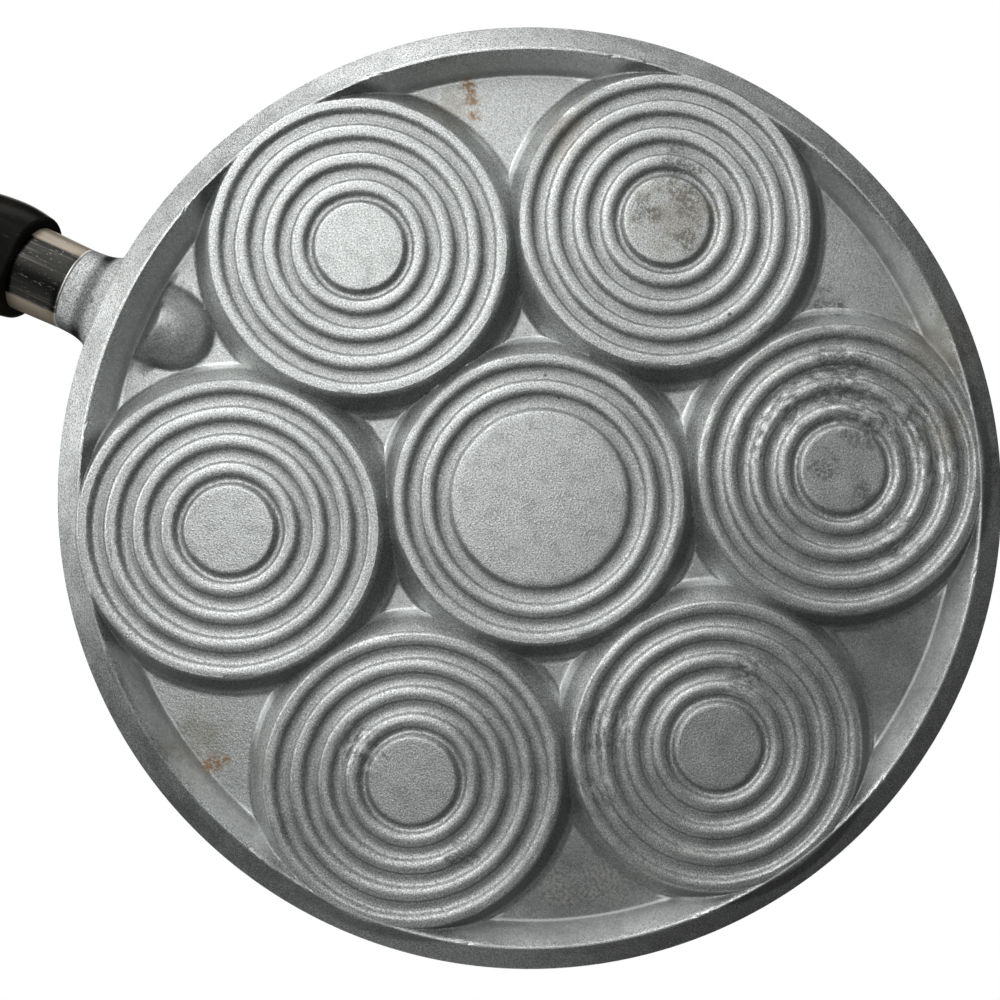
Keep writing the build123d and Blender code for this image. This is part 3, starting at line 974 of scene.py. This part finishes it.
    rust = marked(RUST)
    grey = tree.add("ShaderNodeCombineColor", {n: value * share for n, share in enumerate(CAST_TINT)})
    colour = tree.painted(
        grey.outputs[0], (PALE_BLOOM, marked(BLOOM) * specks.eased(.45, .60) * .7),
        (RUST_BROWN, rust * specks.eased(.38, .52) * .9), (TAN_BROWN, marked(TAN) * .40))
    roughness = .45 + (mottle - .5) * .25 + dirt_and_shade * .2 + slope * .2 - foot_wear_and_sheen.most(crest) * .10
    metallic = .96 - dirt_and_shade * .35 - rust * .4 - slope * .45 - painted_highlight * .6
    feed(tree, shader, colour, roughness, (grain * .10 + specks * .06) * MM, metallic)
    return material


def handle_finish(name, metallic):
    """A new material, with places in the handle's own frame: along it, across it and up from its axis."""
    material, tree, shader, place = finish(name, metallic)
    place = tree.add("ShaderNodeMapping", {
        "Vector": place, "Location": HANDLE_START, "Rotation": (0, -HANDLE_RISE, 0)}, vector_type="TEXTURE")
    return (material, tree, shader, place.outputs[0], *tree.parts(place.outputs[0]))


def plated_finish():
    """A plated steel sleeve, coloured almost black as a painted dark reflection, with fine scratches along it
    and tan bands along its edges that are a painted reflection.
    """
    # The near-black plated colour is a painted dark reflection; the tan is a painted reflection.
    plating_dark_reflection, tan_reflection, streak, scratch, pale_lip = (
        (.022, .022, .020, 1), (.30, .25, .19, 1), (.10, .09, .08, 1), (.85, .86, .84, 1), (.80, .80, .78, 1))
    material, tree, shader, place, along, across, up = handle_finish("plated_steel", 1.0)
    scratches = tree.noise(tree.vector(along * .10, across, up), .34 * MM, 3, 5).eased(.62, .72)
    scratches = scratches * tree.noise(place, 2.0 * MM, 2, 9).eased(.44, .56)
    dings = tree.noise(tree.vector(along * .6, across, up), .45 * MM, 2, 13).eased(.68, .77)
    # Painted reflection: tan bands along both edges of the sleeve, rougher and less metallic.
    reflection_bands = (abs(across) / MM).eased(8.0, 8.9)
    streaks = tree.noise(tree.vector(along * .04, across, up), .9 * MM, 2, 17)
    marks = scratches.most(dings)
    # A pale line round the sleeve's end towards the pan.
    lip = 1 - ((along - STUB_LENGTH) / MM).eased(.3, .7)
    colour = tree.painted(plating_dark_reflection, (tan_reflection, reflection_bands), (streak, streaks.eased(.50, .70) * .5),
                          (scratch, marks * .32), (pale_lip, lip * .7))
    feed(tree, shader, colour, .24 + marks * .25 + reflection_bands * .2, marks * -.02 * MM, 1 - reflection_bands * .75)
    return material


def phenolic_finish():
    """Black moulded resin, glossy where hands have worn it, with faint brown bloom and small scuffs."""
    resin, brown, scuffed = (.006, .006, .0055, 1), (.014, .013, .009, 1), (.06, .06, .055, 1)
    material, tree, shader, place, along, across, up = handle_finish("phenolic", 0.0)
    skin = tree.noise(place, .5 * MM, 2, 3)
    clouds = tree.noise(place, 14 * MM, 4, 5)
    scuffs = tree.noise(tree.vector(along * .15, across, up), .7 * MM, 3, 7).eased(.62, .72)
    shader.inputs["Specular IOR Level"].default_value = 0.024
    colour = tree.painted(resin, (brown, clouds.eased(.4, .7)), (scuffed, scuffs * .3))
    height = (skin * .012 + clouds * .02 - scuffs * .01) * MM
    feed(tree, shader, colour, .24 + (clouds - .5) * .20 + scuffs * .2, height)
    return material


def screw_finish():
    """Zinc-plated steel, turned, so its fine lines run round the screw."""
    zinc, dulled = (.58, .58, .60, 1), (.42, .41, .38, 1)
    material, tree, shader, place, along, across, up = handle_finish("screw_steel", 1.0)
    out = square_root(across * across + up * up)
    rings = tree.noise(tree.vector(along, out, 0.0), .12 * MM, 2, 3)
    spots = tree.noise(place, 1.2 * MM, 3, 5).eased(.5, .7)
    colour = tree.painted(zinc, (dulled, spots * .6))
    feed(tree, shader, colour, .32 + (rings - .5) * .3 + spots * .1, rings * .012 * MM)
    return material


cast, plated, phenolic, screw = cast_finish(), plated_finish(), phenolic_finish(), screw_finish()


def dress(piece, material, slot, *nodes):
    piece.data.materials.clear()
    piece.data.materials.append(material)
    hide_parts(*nodes)
    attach(piece, "root")


dress(casting_piece(), cast, "cast_aluminium", "pan_casting")
dress(ferrule_piece(), plated, "plated_steel", "ferrule")
dress(grip_piece(), phenolic, "phenolic", "handle_grip")
for node in ("handle_bolt", "flat_washer", "lock_washer"):
    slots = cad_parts[node].data.materials
    slots.clear()
    slots.append(screw)

# ======== camera ========

# The pan as the camera sees it: turned about its axis, tipped, and set off from the lens.
PAN_TURN = 204.38                    # degrees
PAN_TIP = (0.28, -2.89, 0.0)         # turning vector, in degrees
PAN_OFFSET = Vector((-15.9, -1.8, 267.6)) * MM
SEEN_HEIGHT = 1.2 * MM               # height above the rest plane to which the offset is measured


tip = Vector(math.radians(degrees) for degrees in PAN_TIP)
turned = Matrix.Rotation(math.radians(PAN_TURN), 3, "Z")
to_pan = (Matrix.Rotation(tip.length, 3, tip.normalized()) @ turned).transposed()
place = to_pan @ -PAN_OFFSET + Vector((0, 0, SEEN_HEIGHT))
camera_data = bpy.data.cameras.new("camera")
camera_data.sensor_width = camera_data.lens = 36
camera_data.shift_x, camera_data.shift_y = -0.1, 0.006
camera_data.clip_start = 0.01
camera = new_object("camera", camera_data)
camera.matrix_world = Matrix.Translation(place) @ (to_pan @ Matrix.Diagonal((1, -1, -1))).to_4x4()
bpy.context.scene.camera = camera

# ======== light, floor ========

def one_sided(name, strength, matt=None):
    """A surface seen from its front only: it glows white, and may also be matt, so that shadows show."""
    material = bpy.data.materials.new(name)
    material.use_nodes = True
    tree = Tree(material.node_tree)
    material.node_tree.nodes.clear()
    back_face = tree.add("ShaderNodeNewGeometry").outputs["Backfacing"]
    clear = tree.add("ShaderNodeBsdfTransparent").outputs[0]
    front = tree.add("ShaderNodeEmission", {"Color": (1, 1, 1, 1), "Strength": strength}).outputs[0]
    if matt:
        diffuse = tree.add("ShaderNodeBsdfDiffuse", {"Color": (matt, matt, matt, 1)}).outputs[0]
        front = tree.add("ShaderNodeAddShader", {0: front, 1: diffuse}).outputs[0]
    mix = tree.add("ShaderNodeMixShader", {0: back_face, 1: front, 2: clear}).outputs[0]
    tree.add("ShaderNodeOutputMaterial", {"Surface": mix})
    return material


STAGE_HALF, BACKDROP_HEIGHT = 6.0, 0.6


def panel(name, height, facing_up, material):
    corners = [(x * STAGE_HALF, y * STAGE_HALF, height) for x, y in ((-1, -1), (1, -1), (1, 1), (-1, 1))]
    mesh = bpy.data.meshes.new(name)
    mesh.from_pydata(corners, [], [(0, 1, 2, 3) if facing_up else (3, 2, 1, 0)])
    obj = new_object(name, mesh)
    mesh.materials.append(material)
    return obj


floor = panel("floor", 0.0, True, one_sided("pale_floor", .50, .42))
backdrop = panel("backdrop", BACKDROP_HEIGHT, False, one_sided("white_backdrop", 1.0))
for sheet in (floor, backdrop):
    sheet.visible_shadow = sheet.visible_diffuse = sheet.visible_glossy = False

world = bpy.data.worlds.new("world")
bpy.context.scene.world = world
world.use_nodes = True
world.node_tree.nodes.clear()
sky = Tree(world.node_tree)
AMBIENT, MIRRORED = 0.02, 0.04      # share of the white world that lights the part, and that it mirrors
dim, pale = (sky.add("ShaderNodeBackground", {"Color": (1, 1, 1, 1), "Strength": strength}).outputs[0]
             for strength in (AMBIENT, 1.0))
rays = sky.add("ShaderNodeLightPath").outputs
camera_ray, glossy_ray, transmission_ray = (
    Number(sky, rays[name]) for name in ("Is Camera Ray", "Is Glossy Ray", "Is Transmission Ray"))
seen = camera_ray.most(transmission_ray).most(glossy_ray * MIRRORED)
mixed = sky.add("ShaderNodeMixShader", {0: seen, 1: dim, 2: pale}).outputs[0]
sky.add("ShaderNodeOutputWorld", {"Surface": mixed})


def lamp(name, azimuth, height_angle, size, power, distance=0.8, height=None):
    """A soft round or oval lamp that looks at the pan's middle; angles in degrees, power in watts."""
    data = bpy.data.lights.new(name, "AREA")
    data.shape, data.size, data.size_y, data.energy = "ELLIPSE", size, height or size, power
    obj = new_object(name, data)
    obj.visible_camera = False
    azimuth, height_angle = math.radians(azimuth), math.radians(height_angle)
    towards = Vector((math.cos(azimuth) * math.cos(height_angle), math.sin(azimuth) * math.cos(height_angle),
                      math.sin(height_angle)))
    turned = (-towards).to_track_quat("-Z", "Y").to_matrix().to_4x4()
    obj.matrix_world = Matrix.Translation(towards * distance) @ turned


lamp("key", 36, -72, .45, .95)
lamp("side", -35, -72, .45, .50)
lamp("left", 21, -40, .50, 1.50)
lamp("right", 86, -40, .50, .60)
lamp("low_left", -24, -18, .55, .60, height=.50)
lamp("low_top", 36, -18, .55, .95, height=.50)
lamp("low_right", 96, -18, .55, .65, height=.50)
lamp("low_front", 170, -18, .50, .12)
lamp("low_bottom", -104, -25, .50, .25)
lamp("level_top", 51, -9, .60, 1.50, height=.24)
lamp("level_left", -9, -9, .60, 1.45, height=.24)
lamp("upper", 200, 65, 1.30, 5.0, 1.2)
lamp("upper_side", 20, 52, 1.00, 3.5, 1.2)
lamp("upper_front", -100, 52, 1.00, 3.0, 1.2)

bpy.context.scene.view_settings.view_transform = "Standard"
